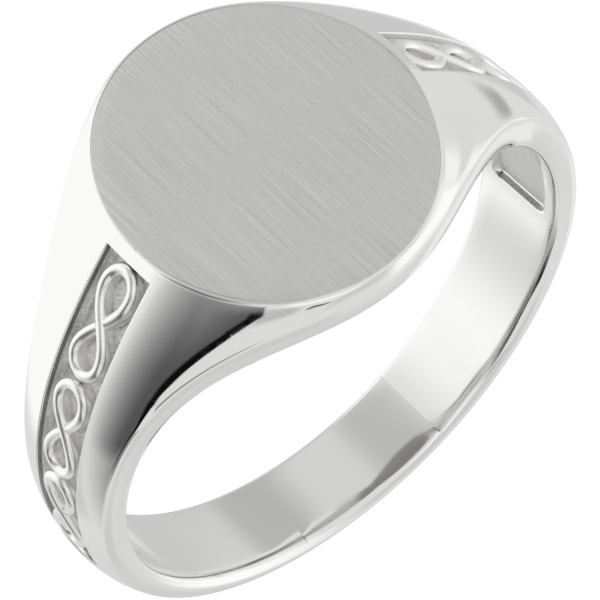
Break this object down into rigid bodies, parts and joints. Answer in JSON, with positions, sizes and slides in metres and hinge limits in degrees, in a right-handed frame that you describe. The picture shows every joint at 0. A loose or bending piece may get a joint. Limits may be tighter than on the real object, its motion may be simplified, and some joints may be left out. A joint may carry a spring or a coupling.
{
  "type": "signet ring",
  "caption": "Finger ring with a flat brushed oval table, flared polished shoulders and infinity wires in a channel on each shoulder.",
  "frame": {"origin": "centre of the finger hole", "axes": "+Y along the finger, +Z to the table, X across the shoulders"},
  "size_m": [0.0226, 0.0128, 0.0228],
  "materials": {
    "polished_metal": "mirror polished white metal",
    "brushed_metal": "straight brushed along the finger",
    "matte_metal": "fine matte stipple",
    "bright_wire": "polished rounded wire"
  },
  "bodies": {
    "root": {"ring_body": "polished_metal", "table_plate": "brushed_metal", "left_channel_strip": "matte_metal", "right_channel_strip": "matte_metal", "left_infinity_1": "bright_wire", "left_infinity_2": "bright_wire", "left_infinity_3": "bright_wire", "right_infinity_1": "bright_wire", "right_infinity_2": "bright_wire", "right_infinity_3": "bright_wire"}
  },
  "joints": []
}
